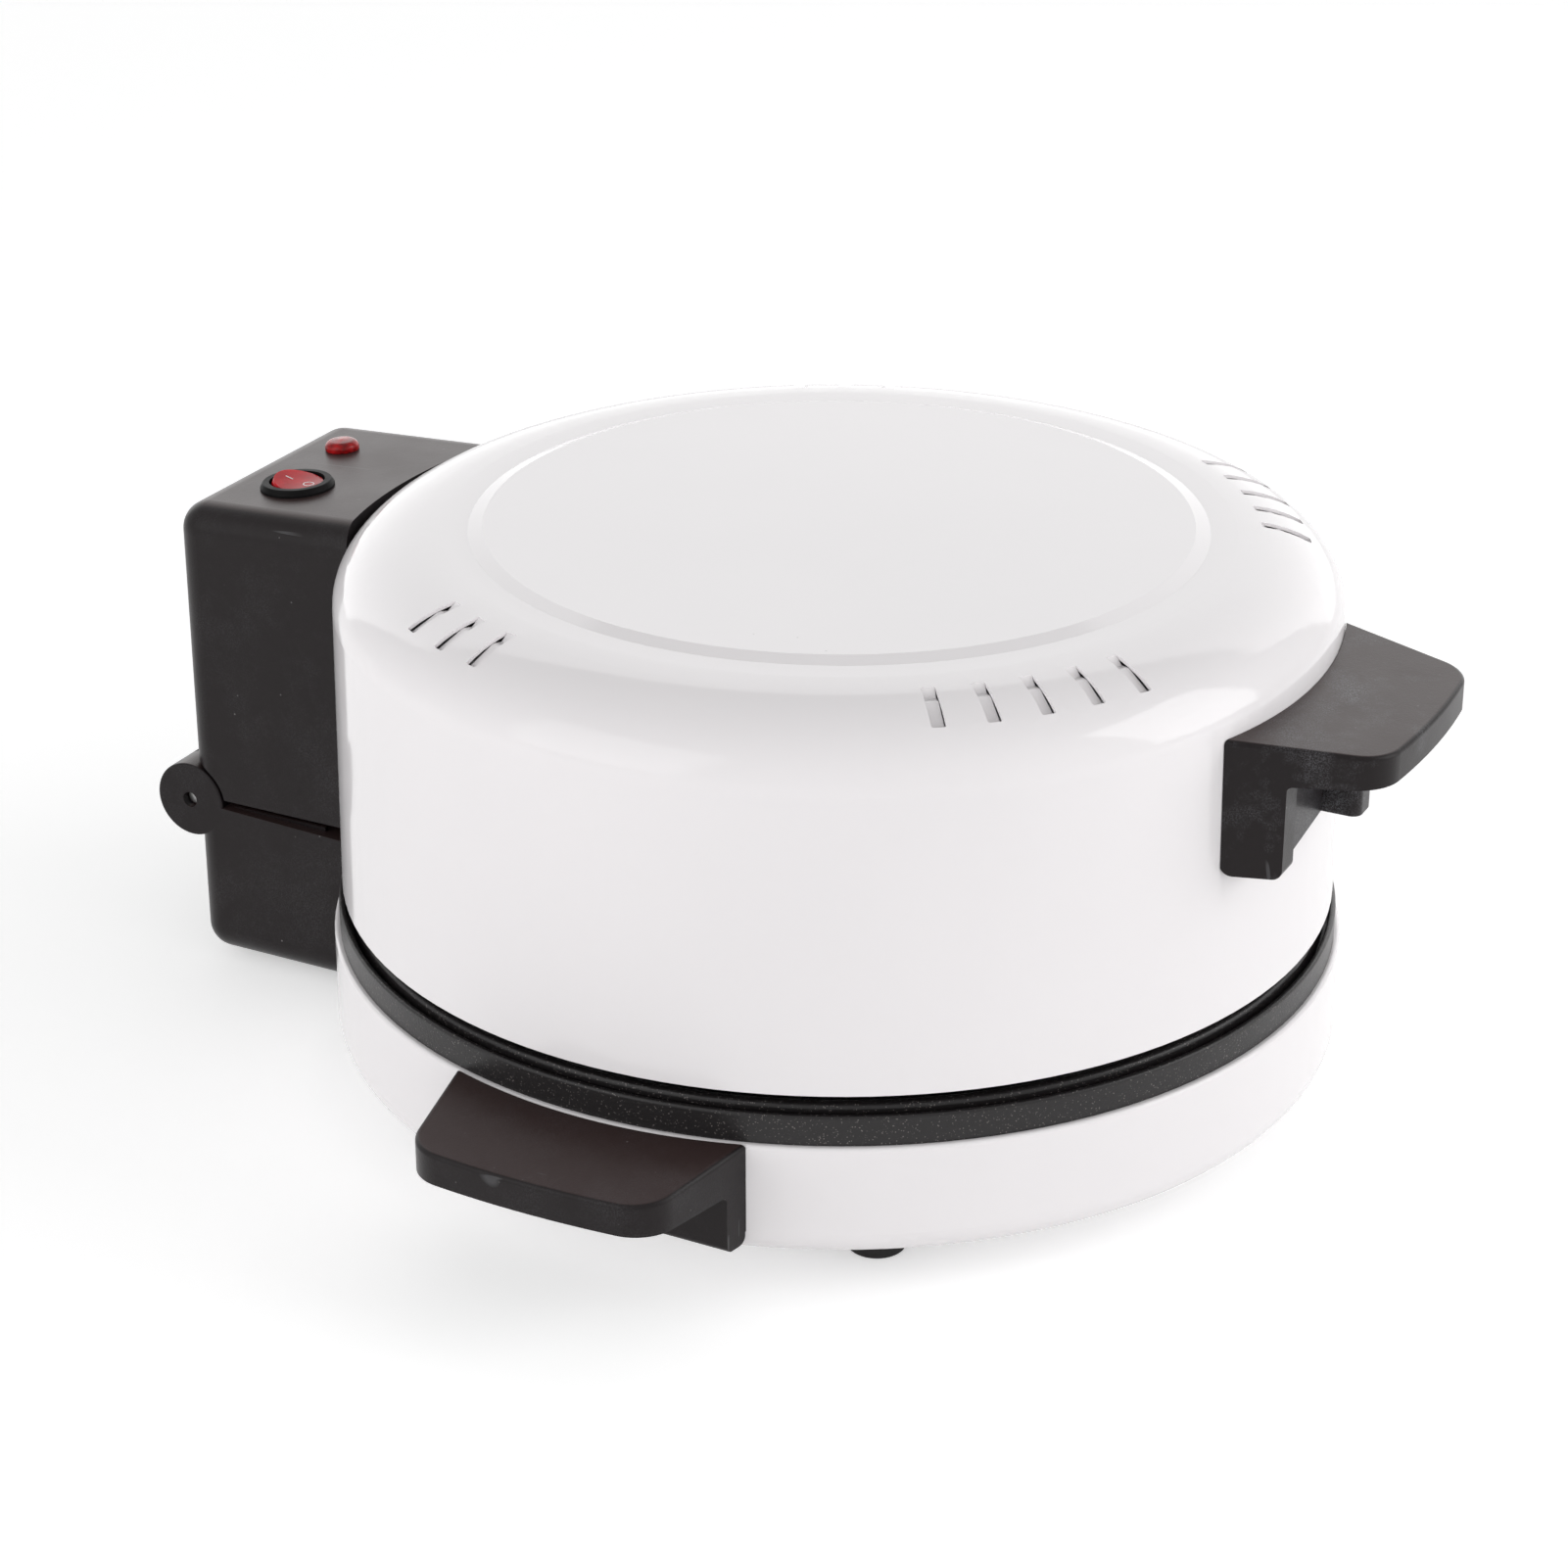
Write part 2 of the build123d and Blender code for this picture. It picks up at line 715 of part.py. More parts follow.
def make_lid_shell():
    """Pressed white lid with a hem, a soft shoulder, vents and a raised centre disc."""
    hem_in = lid_radius - sheet - hem_width
    top = hem_z + sheet
    start = (lid_radius, lid_z)
    inner_start = (lid_radius - sheet, lid_z)
    shell = dome_shell(0, sheet, True, [Line(start, inner_start)])
    hem = turned(
        (hem_in, hem_z, 0),
        (lid_radius - sheet / 2, hem_z, 0),
        (lid_radius - sheet / 2, top, 0),
        (hem_in, top, 0),
    )
    shell += hem
    for cutter in vent_cutters() + element_holes() + liner_screw_cutters(liner_screw_radius + 0.15):
        shell -= cutter
    for angle, z in box_screws_high + lid_screws:
        shell -= place(radial_hole(lid_radius - 12, lid_radius + 4), angle, z)
    for strip in vent_strips():
        shell += strip
    return shell


def make_lid_liner():
    """Bright inner dome, screwed to the lid's hem by its flange."""
    low = hem_z + sheet
    wall = lid_radius - liner_depth
    outer_r = lid_radius - sheet - liner_flange_gap
    flange = turned(
        (wall - liner_sheet, low, 0),
        (outer_r, low, 0),
        (outer_r, low + liner_sheet, 0),
        (wall - liner_sheet, low + liner_sheet, 0),
    )
    foot = [Line((wall, lid_z), (wall - liner_sheet, lid_z))]
    liner = dome_shell(liner_depth, liner_sheet, False, foot)
    liner -= rod_z(lid_z - 5, low, lid_radius)
    liner += flange
    for cutter in element_holes() + liner_screw_cutters(liner_screw_radius + 0.15):
        liner -= cutter
    return liner


def make_liner_screws():
    """Small screws up through the hem."""
    head = rod_z(hem_z - liner_screw_head_height, hem_z, liner_screw_head_radius)
    shank = rod_z(hem_z, hem_z + sheet + liner_sheet + 2.5, liner_screw_radius)
    screw = Pos(liner_screw_circle, 0, 0) * (head + shank)
    return group(around(screw, liner_screw_count, 90 + 180 / liner_screw_count))


def make_upper_brackets():
    """Hooks that hang the upper element from the liner."""
    roof = liner_top_z - liner_sheet
    half = strap_width / 2
    low = upper_ring_z - tube_radius - strap_thickness
    back = upper_ring_radius + tube_radius + touch_gap
    strip = brick(back, back + strap_thickness, -half, half, low, roof)
    toe = brick(upper_ring_radius - 4, back + strap_thickness, -half, half, low, low + strap_thickness)
    tab = brick(back, back + 12, -half, half, roof - strap_thickness, roof)
    return group(around(strip + toe + tab, clamp_count, 45))


def make_thermostat(z, up):
    """Disc thermostat with two tabs, its cap against the face at z."""
    cap = rod_z(0, thermostat_cap, thermostat_radius)
    cap = fillet(cap.edges().group_by(Axis.Z)[-1], 0.8)
    body = rod_z(thermostat_cap, thermostat_cap + thermostat_body, thermostat_body_radius)
    unit = cap + body
    for s in (-1, 1):
        unit += brick(s * 6.2 - 0.4, s * 6.2 + 0.4, -2.4, 2.4, thermostat_cap, thermostat_cap + 3.0)
        unit += brick(s * 9.2 - 3.2, s * 9.2 + 3.2, -2.4, 2.4, thermostat_cap + 2.2, thermostat_cap + 3.0)
    if up:
        return Pos(0, 0, z) * unit
    return Pos(0, 0, z) * Rot(180, 0, 0) * unit


def hinge_block(inset, z_low, z_high, slope, soft_top):
    """Closed block of a hinge box, or of its hollow when inset, with softened back corners."""
    half = box_half_width - inset
    back = box_back_y - inset
    front = pan_radius - 30
    block = brick(-half, half, front, back, z_low, z_high + 12)
    tilt = radians(slope)
    lift = Plane(origin=(0, control_y, z_high), x_dir=(1, 0, 0), z_dir=(0, sin(tilt), cos(tilt)))
    block = split(block, bisect_by=lift, keep=Keep.BOTTOM)
    face = block.faces().sort_by(Axis.Z)[-1 if soft_top else 0]
    soft = [e for e in face.edges() if (e @ 0.5).Y > front + 1]
    soft += block.edges().filter_by(Axis.Z).group_by(Axis.Y)[-1]
    return fillet(soft, box_edge - inset)


def knuckle(x0, x1, radius):
    """Round bar about the hinge axis."""
    return Pos(0, knuckle_y, knuckle_z) * rod_x(x0, x1, radius)


def box_lugs(places, radius, z_list):
    """Blocks in a hinge box's corners that take its screws."""
    x0 = box_half_width - plastic - lug_width
    lugs = []
    for z in z_list:
        for s in (-1, 1):
            lug = brick(x0, box_half_width - plastic / 2, radius - 20, radius + lug_reach,
                        z - lug_height / 2, z + lug_height / 2)
            lugs.append(lug if s > 0 else mirror(lug, Plane.YZ))
    return lugs


ear_inner_x = box_half_width - knuckle_width
barrel_half = ear_inner_x - swing_clear


def make_lower_hinge_box():
    """Lower box on the pan: two ears for the hinge pin, a trough for the barrel, a cord outlet."""
    z_low = lower_box_ground_gap
    outer = hinge_block(0, z_low, lower_box_top_z, lower_box_top_slope, False)
    hollow = hinge_block(plastic, z_low + plastic, lower_box_top_z - plastic, lower_box_top_slope, False)
    hollow -= rod_z(0, lid_z, pan_radius + seat_gap + plastic)
    hollow += brick(-window_half_width, window_half_width, pan_radius - 20, pan_radius + 4, *lower_window)
    trough = knuckle_radius + swing_clear
    outer -= knuckle(-ear_inner_x, ear_inner_x, trough)
    hollow -= knuckle(-box_half_width, box_half_width, trough + plastic)
    box = outer - hollow
    rib_x = box_half_width - rib_inset
    rib = brick(rib_x - rib_width, rib_x, rib_y, rib_y + rib_length,
                lower_box_top_z - plastic, rim_z + rib_top_rise)
    box += rib
    box += mirror(rib, Plane.YZ)
    for lug in box_lugs(box_screws_low, pan_radius, lower_box_screw_z):
        box += lug
    for s in (-1, 1):
        ear = knuckle(min(s * ear_inner_x, s * box_half_width), max(s * ear_inner_x, s * box_half_width),
                      knuckle_radius)
        rims = ear.edges().filter_by(GeomType.CIRCLE)
        ear = fillet(rims, 0.8)
        box += ear
    box -= knuckle(-box_half_width - 1, box_half_width + 1, pin_radius + pin_clear)
    box -= rod_z(0, lid_z + 60, pan_radius + seat_gap)
    box -= Pos(gland_x, 0, gland_z) * rod_y(box_back_y - 10, box_back_y + 5,
                                            gland_barrel_radius + screw_clear)
    for s in (-1, 1):
        box -= bumper_place(rod_z(-plastic - 2, 2, bumper_stem_radius + pin_clear), s)
    for angle, z in box_screws_low:
        box -= place(radial_hole(pan_radius - 12, pan_radius + screw_depth + 0.4), angle, z)
    return box


def make_upper_hinge_box():
    """Upper box on the lid: it carries the switch and lamp, and ends in the hinge barrel."""
    z_low = upper_box_bottom_z
    outer = hinge_block(0, z_low, control_z, upper_box_top_slope, True)
    hollow = hinge_block(plastic, z_low + plastic, control_z - plastic, upper_box_top_slope, True)
    notch = knuckle_radius + ear_notch_gap
    hollow -= knuckle(-box_half_width, box_half_width, notch + plastic)
    hollow -= rod_z(0, disc_z, lid_radius + seat_gap + plastic)
    hollow += brick(-window_half_width, window_half_width, lid_radius - 20, lid_radius + 4, *upper_window)
    box = outer - hollow
    for lug in box_lugs(box_screws_high, lid_radius, upper_box_screw_z):
        box += lug
    box += knuckle(-barrel_half, barrel_half, knuckle_radius)
    for s in (-1, 1):
        ends = sorted((s * barrel_half, s * (box_half_width + 1)))
        box -= knuckle(*ends, notch)
    box -= knuckle(-box_half_width - 1, box_half_width + 1, pin_radius + pin_clear)
    box -= rod_z(0, disc_z + 20, lid_radius + seat_gap)
    box -= control(switch_place) * rod_z(-plastic - 5, 5, switch_hole_radius)
    box -= control(lamp_place) * rod_z(-plastic - 5, 5, lens_stem_radius + screw_clear)
    for angle, z in box_screws_high:
        box -= place(radial_hole(lid_radius - 12, lid_radius + screw_depth + 0.4), angle, z)
    return box


def control(place):
    """Frame at a place on the sloping top of the upper box: z points out of the panel."""
    tilt = radians(upper_box_top_slope)
    face = Plane(origin=(0, control_y, control_z), x_dir=(1, 0, 0), z_dir=(0, sin(tilt), cos(tilt)))
    return Location(face) * Pos(*place, 0)


def make_switch_housing():
    """Round snap-in switch body with a sloping bezel, a well for the rocker and three tabs."""
    body = turned(
        (0, -switch_body_depth, 0),
        (switch_body_radius, -switch_body_depth, 0.8),
        (switch_body_radius, 0, 0),
        (bezel_radius, 0, 0),
        (bezel_radius, bezel_height * 0.3, 0.3),
        (bezel_top_radius, bezel_height, 0.5),
        (0, bezel_height, 0),
    )
    body -= rod_z(-switch_well_depth, bezel_height + 1, switch_well_radius)
    reach = rocker_radius + trunnion_length + 0.15
    body -= Pos(0, 0, -rocker_pivot_depth) * rod_x(-reach, reach, trunnion_radius + pin_clear)
    for i in (-1, 0, 1):
        y = i * tab_pitch
        body += brick(-tab_width / 2, tab_width / 2, y - tab_thickness / 2, y + tab_thickness / 2,
                      -switch_body_depth - tab_length, -switch_body_depth + 1)
    return control(switch_place) * body


def make_rocker():
    """Translucent rocker: a ball-sided button with two facets, lying in its off position."""
    pivot = Pos(0, 0, -rocker_pivot_depth)
    button = pivot * Sphere(rocker_radius)
    flat_z = bezel_height - 0.9
    raised = flat_z + (rocker_radius + 2) * sin(radians(rocker_tilt)) / cos(radians(rocker_tilt))
    wide = rocker_radius + 2
    keep = outline(
        (-wide, -rocker_base_depth, 0),
        (wide, -rocker_base_depth, 0),
        (wide, raised, 0),
        (0, flat_z, rocker_hollow),
        (-wide, flat_z, 0),
    )
    button &= extrude(Plane.YZ * keep, wide, both=True)
    trunnion_end = rocker_radius + trunnion_length
    button += pivot * rod_x(-trunnion_end, trunnion_end, trunnion_radius)
    return control(switch_place) * button


def make_lamp_lens():
    """Domed lens with a stem that passes through the panel."""
    low = -lens_stem_depth
    lens = turned(
        (0, low, 0),
        (lens_stem_radius, low, 0.3),
        (lens_stem_radius, 0, 0),
        (lens_radius, 0, 0.3),
        (lens_radius, lens_height - lens_crown, lens_round),
        (0, lens_height, 0),
    )
    return control(lamp_place) * lens


def make_lamp_nut():
    """Ring nut under the panel."""
    low = -plastic - lamp_nut_height
    nut = extrude(Pos(0, 0, low) * RegularPolygon(lamp_nut_radius, 6), lamp_nut_height)
    nut -= rod_z(low - 1, 0, lens_stem_radius + pin_clear)
    return control(lamp_place) * nut


def make_lamp_body():
    """Lamp holder below the lens, with two tabs."""
    high = -lens_stem_depth
    low = high - lamp_length
    body = rod_z(low, high, lens_stem_radius)
    for s in (-1, 1):
        half = tab_thickness / 2
        body += brick(-1.4, 1.4, s * 2 - half, s * 2 + half, low - tab_length, low + 1)
    return control(lamp_place) * body


def make_hinge_pin():
    """Steel pin, a little short of both ears' outer faces, with chamfered ends."""
    half = box_half_width - pin_recess
    pin = knuckle(-half, half, pin_radius)
    return chamfer(pin.edges().filter_by(GeomType.CIRCLE), 0.5)


def make_terminal_block():
    """Three-pole terminal block on the lower box's floor."""
    low = lower_box_ground_gap + plastic
    block = brick(-block_length / 2, block_length / 2, block_y - block_depth / 2, block_y + block_depth / 2,
                  low, low + block_height)
    block = fillet(block.edges().filter_by(Axis.Z), 1.5)
    for s in (-1, 0, 1):
        for t in (-1, 1):
            well = Pos(s * element_half_gap, block_y + t * block_depth / 4, 0)
            top = low + block_height
            block -= well * rod_z(top - 3, top + 1, terminal_radius + pin_clear)
    return block


def make_terminal_screws():
    """Brass screws in the terminal block."""
    top = lower_box_ground_gap + plastic + block_height
    screw = rod_z(top - 3, top - 0.6, terminal_radius)
    screw -= brick(-3, 3, -0.4, 0.4, top - 1.4, top)
    return group([Pos(s * element_half_gap, block_y + t * block_depth / 4, 0) * screw
                  for s in (-1, 0, 1) for t in (-1, 1)])


def lead(points):
    """Insulated lead through a few points, with rounded corners."""
    path = FilletPolyline(*points, radius=lead_bend)
    section = Plane(origin=path @ 0, z_dir=path % 0) * Circle(lead_radius)
    return sweep(section, path=path)


def make_base_leads():
    """Leads from the terminal block up to the lower element's pins."""
    pin_end = element_end_y + element_pin_length
    top = lower_box_ground_gap + plastic + block_height - 0.6
    y = block_y - block_depth / 4
    leads = []
    for s in (-1, 1):
        x = s * element_half_gap
        leads.append(lead([(x, y, top), (x, y, lower_ring_z), (x, pin_end, lower_ring_z)]))
    return group(leads)


def make_lid_leads():
    """Leads from the upper element's pins to the switch and to the lamp."""
    pin_end = element_end_y + element_pin_length
    turn_y = pin_end + lead_bend * 1.1
    tilt = radians(upper_box_top_slope)
    leads = []
    for s, place, depth, offset in ((-1, switch_place, switch_body_depth + tab_length + 0.1, tab_pitch),
                                    (1, lamp_place, lens_stem_depth + lamp_length + tab_length + 0.1, 2.0)):
        end_x = place[0]
        offset += place[1]
        end_y = control_y + offset * cos(tilt) - depth * sin(tilt)
        end_z = control_z - offset * sin(tilt) - depth * cos(tilt)
        low = end_z - 3 * lead_bend
        x = s * element_half_gap
        leads.append(lead([(x, pin_end, upper_ring_z), (x, turn_y, upper_ring_z), (x, turn_y, low),
                           (end_x, end_y, low), (end_x, end_y, end_z)]))
    return group(leads)


def bumper_place(part, side):
    """Put a bumper's part on the lower box's recessed top."""
    drop = (bumper_y - control_y) * sin(radians(lower_box_top_slope))
    return Pos(side * bumper_x, bumper_y, lower_box_top_z - drop) * part


def make_lid_bumpers():
    """Two rubber buttons that the closed lid's box comes down on."""
    seat = bumper_place(rod_z(0, 1, 1), 1).bounding_box().min.Z + 0.2
    top = upper_box_bottom_z - bumper_gap
    button = rod_z(0, top - seat, bumper_radius)
    button = fillet(button.edges().group_by(Axis.Z)[-1], 0.8)
    button += rod_z(-plastic - 0.5, 0, bumper_stem_radius)
    return group([Pos(s * bumper_x, bumper_y, seat) * button for s in (-1, 1)])


def make_cord_gland():
    """Rubber gland in the lower box's back wall, with a bore for the mains lead."""
    inner_y = box_back_y - plastic - gland_tail
    gland = rod_y(inner_y, box_back_y + 1, gland_barrel_radius)
    flange = rod_y(box_back_y + pin_clear, box_back_y + gland_flange, gland_flange_radius)
    flange = fillet(flange.edges().group_by(Axis.Y)[-1], 1.0)
    gland += flange
    gland -= rod_y(inner_y - 1, box_back_y + gland_flange + 1, gland_bore_radius)
    return Pos(gland_x, 0, gland_z) * gland


side_handle = make_side_handle()
pan_inner = pan_radius - sheet - seat_gap
lid_inner = lid_radius - sheet - seat_gap


def wall_screws(places, inner_radius):
    """Radial screws at a list of places."""
    return group([place(radial_screw(inner_radius), angle, z) for angle, z in places])


def lid_wall_screws(places):
    """Radial screws in the leaning lid wall, each from that height's inner face."""
    depth = sheet + seat_gap
    return group([place(radial_screw(lid_radius_at(z) - depth), angle, z) for angle, z in places])


nodes = {
    "base_pan": make_base_pan(),
    "cooking_plate": make_cooking_plate(),
    "lower_heater": heating_element(lower_ring_radius, lower_ring_z, element_end_y),
    "lower_heater_clamps": make_lower_clamps(),
    "lower_reflector": make_lower_reflector(),
    "reflector_spacers": make_reflector_spacers(),
    "plate_screws": make_plate_screws(),
    "plate_thermostat": make_thermostat(plate_under_z, False),
    "side_handle_left": Rot(0, 0, -90) * side_handle,
    "side_handle_right": Rot(0, 0, 90) * side_handle,
    "side_handle_screws": wall_screws(side_screws, pan_inner),
    "lower_hinge_box": make_lower_hinge_box(),
    "lower_box_screws": wall_screws(box_screws_low, pan_inner),
    "hinge_pin": make_hinge_pin(),
    "lid_bumpers": make_lid_bumpers(),
    "foot_screws": make_foot_screws(),
    "foot_nuts": make_foot_nuts(),
    "terminal_block": make_terminal_block(),
    "terminal_screws": make_terminal_screws(),
    "base_leads": make_base_leads(),
    "cord_gland": make_cord_gland(),
    "lid_shell": make_lid_shell(),
    "lid_liner": make_lid_liner(),
    "liner_screws": make_liner_screws(),
    "upper_heater": heating_element(upper_ring_radius, upper_ring_z, element_end_y),
    "upper_heater_brackets": make_upper_brackets(),
    "lid_thermostat": make_thermostat(liner_top_z, True),
    "upper_hinge_box": make_upper_hinge_box(),
    "upper_box_screws": lid_wall_screws(box_screws_high),
    "lid_handle": make_lid_handle(),
    "lid_handle_screws": lid_wall_screws(lid_screws),
    "switch_housing": make_switch_housing(),
    "switch_rocker": make_rocker(),
    "lamp_lens": make_lamp_lens(),
    "lamp_nut": make_lamp_nut(),
    "lamp_body": make_lamp_body(),
    "lid_leads": make_lid_leads(),
}
foot = make_foot()
foot_names = ("front_left", "rear_left", "front_right", "rear_right")
for name, (x, y) in zip(foot_names, foot_places):
    nodes["foot_" + name] = Pos(x, y, 0) * foot

for name, part in nodes.items():
    export_step(Pos(0, footprint_shift, 0) * part, "parts/" + name + ".step")

print("pieces", len(nodes), "shift", round(footprint_shift, 3))
print("hinge axis y", round(knuckle_y + footprint_shift, 3), "z", round(knuckle_z, 3))
print("lid lower edge z", round(lid_z, 2), "top z", round(disc_z, 2))
print("plate floor z", round(plate_floor_z, 2), "upper element z", round(upper_ring_z, 2))
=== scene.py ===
# %% [markdown]
# # A countertop pizza cooker, dressed for its portrait
# The construction model gives every piece its size and place. This lesson adds what the eye sees:
# gloss enamel, speckled non-stick coat, fine-grained black mouldings and a red switch. All numbers
# are metres, in the same frame as the construction model: +Y is the hinge side, z = 0 the table.

# %% Load the construction model
import json
import math

import bmesh
import bpy
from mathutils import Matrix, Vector


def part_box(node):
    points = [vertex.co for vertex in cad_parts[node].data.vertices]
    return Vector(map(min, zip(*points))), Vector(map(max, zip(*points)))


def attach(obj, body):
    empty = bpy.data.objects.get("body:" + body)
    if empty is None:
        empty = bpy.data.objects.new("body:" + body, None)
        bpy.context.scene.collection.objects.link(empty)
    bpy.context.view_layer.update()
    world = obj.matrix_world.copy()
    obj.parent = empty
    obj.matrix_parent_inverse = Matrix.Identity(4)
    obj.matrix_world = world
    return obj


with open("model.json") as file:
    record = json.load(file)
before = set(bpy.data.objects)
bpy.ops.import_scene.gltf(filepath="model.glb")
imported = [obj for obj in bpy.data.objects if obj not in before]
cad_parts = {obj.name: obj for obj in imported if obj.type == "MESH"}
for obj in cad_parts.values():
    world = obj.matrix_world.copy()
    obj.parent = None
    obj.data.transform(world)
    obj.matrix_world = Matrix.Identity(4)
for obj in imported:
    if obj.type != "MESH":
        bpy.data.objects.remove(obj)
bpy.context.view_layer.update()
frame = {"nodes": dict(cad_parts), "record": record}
nodes = frame["nodes"]
scene = bpy.context.scene
scene.view_settings.view_transform = "Standard"

# %% [markdown]
# ## The camera
# The photograph was taken from the front left with a long lens, looking down by 25 degrees. Its place
# was solved from the ellipses of the plate and the lid, so the render and the photograph overlay.

# %% Camera
camera_place = Vector((-0.93768, -0.48564, 0.56617))
camera_turn = math.radians(27.414)
camera_dip = math.radians(24.668)
camera_lens = 88.3205
sensor_width = 36.0
nearest_seen = 0.05
heading = Vector((math.cos(camera_turn), math.sin(camera_turn), 0.0))
looking = math.cos(camera_dip) * heading - Vector((0.0, 0.0, math.sin(camera_dip)))
camera = bpy.data.objects.new("camera", bpy.data.cameras.new("camera"))
scene.collection.objects.link(camera)
camera.location = camera_place
camera.rotation_euler = looking.to_track_quat("-Z", "Y").to_euler()
camera.data.lens = camera_lens
camera.data.sensor_width = sensor_width
camera.data.clip_start = nearest_seen
scene.camera = camera
print("camera", [round(v, 3) for v in camera_place], "lens", camera_lens)

# %% [markdown]
# ## Small helpers for node materials
# Every finish below is a Principled shader whose colour, roughness or relief is driven by a few
# texture nodes on Object coordinates. These helpers keep each recipe to a handful of lines. A height
# or a grain's depth is in metres, and a texture's scale counts its waves per metre.

# %% Material helpers
def finish_named(name, colour, roughness, **sockets):
    """Start a material: its Principled shader with plain values on the shader's own sockets."""
    made = bpy.data.materials.new(name)
    made.use_nodes = True
    shader = made.node_tree.nodes["Principled BSDF"]
    shader.inputs["Base Color"].default_value = (*colour, 1.0)
    shader.inputs["Roughness"].default_value = roughness
    for socket, value in sockets.items():
        shader.inputs[socket.replace("_", " ")].default_value = value
    return made, shader


def add(made, kind, **values):
    """Add a node to a material; keywords set its inputs or its own settings."""
    node = made.node_tree.nodes.new(kind)
    for key, value in values.items():
        if key in node.inputs:
            node.inputs[key].default_value = value
        else:
            setattr(node, key, value)
    return node


def wire(made, *pairs):
    """Link pairs of sockets, each pair written as (from, to)."""
    for start, end in pairs:
        made.node_tree.links.new(start, end)


def object_place(made):
    """The Object coordinate socket."""
    return add(made, "ShaderNodeTexCoord").outputs["Object"]


print("helpers for shaders, nodes, links and places")

# %% [markdown]
# ## Helpers for patterns
# A pattern is a grey value from 0 to 1 that changes over the surface. Noise makes clouds and grain,
# cells make specks, a ramp turns a grey into colours or cuts it to a sharp edge, and a bump turns it
# into relief.

# %% Pattern helpers
def ramp(made, factor, *stops):
    """A colour ramp with (position, colour) stops; a single number makes a grey."""
    node = add(made, "ShaderNodeValToRGB")
    bar = node.color_ramp.elements
    while len(bar) < len(stops):
        bar.new(0.5)
    for mark, (position, colour) in zip(bar, stops):
        mark.position = position
        mark.color = (*colour, 1.0) if isinstance(colour, tuple) else (colour, colour, colour, 1.0)
    wire(made, (factor, node.inputs["Fac"]))
    return node.outputs["Color"]


def relief(made, shader, height, distance, strength, before=None):
    """A bump from a height socket, on top of the relief made before it."""
    node = add(made, "ShaderNodeBump", Strength=strength, Distance=distance)
    wire(made, (height, node.inputs["Height"]), (node.outputs["Normal"], shader.inputs["Normal"]))
    if before is not None:
        wire(made, (before, node.inputs["Normal"]))
    return node.outputs["Normal"]


def noise(made, place, scale, detail=3.0, roughness=0.5):
    """A noise texture's grey value."""
    node = add(made, "ShaderNodeTexNoise", Scale=scale, Detail=detail, Roughness=roughness)
    wire(made, (place, node.inputs["Vector"]))
    return node.outputs["Fac"]


def cells(made, place, scale):
    """Distance to the nearest cell centre, for specks."""
    node = add(made, "ShaderNodeTexVoronoi", Scale=scale)
    wire(made, (place, node.inputs["Vector"]))
    return node.outputs["Distance"]


def times(made, first, second):
    """The product of two grey sockets."""
    node = add(made, "ShaderNodeMath", operation="MULTIPLY")
    wire(made, (first, node.inputs[0]), (second, node.inputs[1]))
    return node.outputs[0]


def mixed(made, factor, first, second):
    """Mix two colours; either may be a socket or an (r, g, b) triple."""
    node = add(made, "ShaderNodeMix", data_type="RGBA")
    for socket, value in ((node.inputs[6], first), (node.inputs[7], second)):
        if isinstance(value, tuple):
            socket.default_value = (*value, 1.0)
        else:
            wire(made, (value, socket))
    wire(made, (factor, node.inputs[0]))
    return node.outputs[2]


print("helpers for ramps, relief, noise, cells and mixes")

# %% [markdown]
# ## White enamel
# Stoved enamel is a thick glossy paint. Its colour is an even white with a trace of warmth, the
# surface has a faint orange peel that bends reflections a little, and here and there a dark speck is
# baked in. Noise at two scales makes the peel, and the specks are the cores of rare cells.

# %% Enamel
enamel_white = (0.85, 0.825, 0.836)
enamel_shade = (0.84, 0.816, 0.827)
enamel_light = (0.86, 0.834, 0.845)
baked_speck = (0.10, 0.09, 0.08)


def make_enamel():
    """Glossy white paint over pressed steel."""
    made, shader = finish_named("white_enamel", enamel_white, 0.10, IOR=1.5)
    place = object_place(made)
    sag = noise(made, place, scale=30.0, detail=1.0)
    peel = noise(made, place, scale=300.0, detail=2.0)
    wave = relief(made, shader, sag, distance=0.0006, strength=0.22)
    relief(made, shader, peel, distance=0.00003, strength=0.3, before=wave)
    tone = ramp(made, noise(made, place, scale=8.0), (0.3, enamel_shade), (0.7, enamel_light))
    core = ramp(made, cells(made, place, scale=46.0), (0.0, 1.0), (0.02, 0.0))
    rare = ramp(made, noise(made, place, scale=17.0, detail=2.0), (0.58, 0.0), (0.62, 1.0))
    painted = mixed(made, times(made, core, rare), tone, baked_speck)
    wire(made, (painted, shader.inputs["Base Color"]))
    return made


enamel = make_enamel()
print("enamel nodes", len(enamel.node_tree.nodes))

# %% [markdown]
# ## Black heat-resistant moulding: grain and wear
# The handles and hinge boxes are moulded in a matt black resin with a fine spark-eroded grain. The
# grain is fine noise over wider pores. Hands have rubbed the lid's handle pale, less so the rest, so
# the rubbed patches fade along Y behind the handle. Each patch is broad noise that only shows through
# a layer of small spots. Hair scratches are thin bands of a noise that is stretched by a Mapping node.

# %% Moulding: grain, rubbed patches and scratches
full_wear_y, slight_wear_y = -0.172, -0.150
wear_on_handle, wear_elsewhere = 1.0, 0.16
scratch_turn = (0.5, 0.9, 0.7)
scratch_stretch = (900.0, 34.0, 60.0)


def grain_of_moulding(made, shader, place):
    """Spark-eroded grain over wider pores."""
    pores = noise(made, place, scale=620.0, detail=3.0, roughness=0.65)
    grain = noise(made, place, scale=1900.0, detail=2.0, roughness=0.6)
    rolling = relief(made, shader, pores, distance=0.00007, strength=0.35)
    relief(made, shader, grain, distance=0.00005, strength=0.6, before=rolling)


